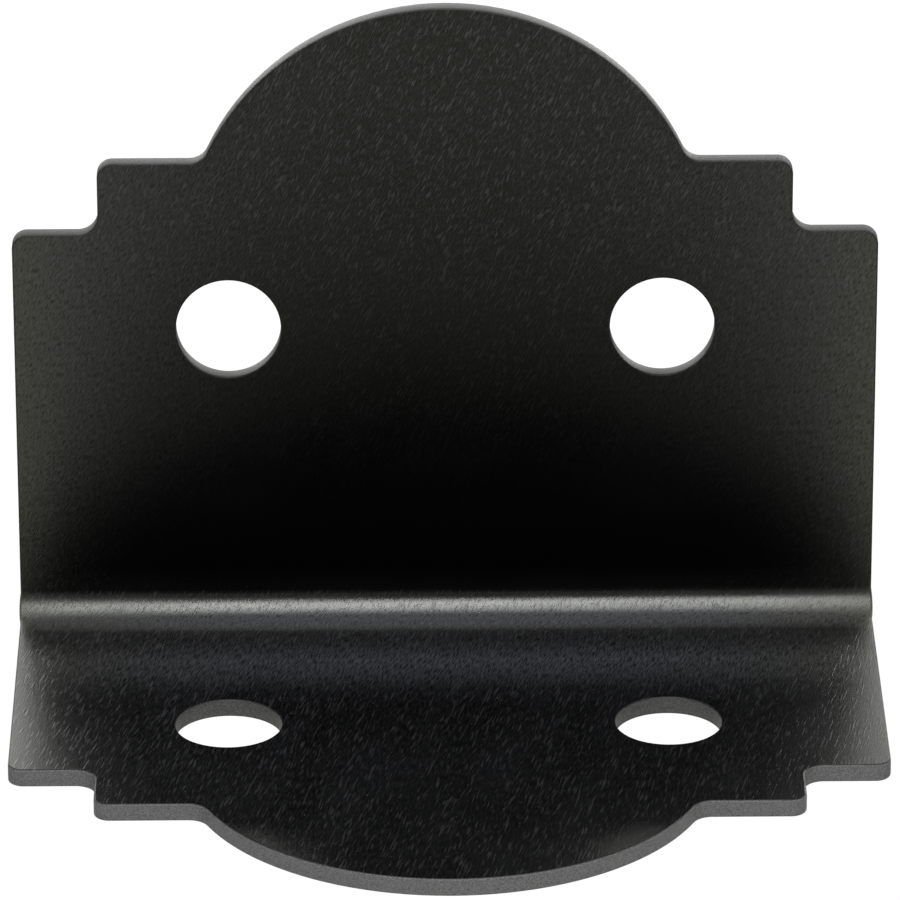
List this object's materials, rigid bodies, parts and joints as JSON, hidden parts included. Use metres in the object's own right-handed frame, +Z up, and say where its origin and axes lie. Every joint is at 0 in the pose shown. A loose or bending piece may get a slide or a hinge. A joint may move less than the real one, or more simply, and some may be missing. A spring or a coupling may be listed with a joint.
{
  "type": "corner brace bracket",
  "caption": "Right-angle corner brace bent from sheet steel; each leg steps in to a round tip and has screw holes for fixing to timber; satin black powder coat.",
  "frame": {"origin": "middle of the footprint, on the underside of the base leg", "axes": "X along the bend, +Y from the base leg's tip towards the wall leg's back, +Z up along the wall leg"},
  "size_m": [0.0892, 0.0636, 0.0692],
  "materials": {
    "coat": "satin black powder coat"
  },
  "bodies": {
    "root": {"bracket": "coat"}
  },
  "joints": []
}
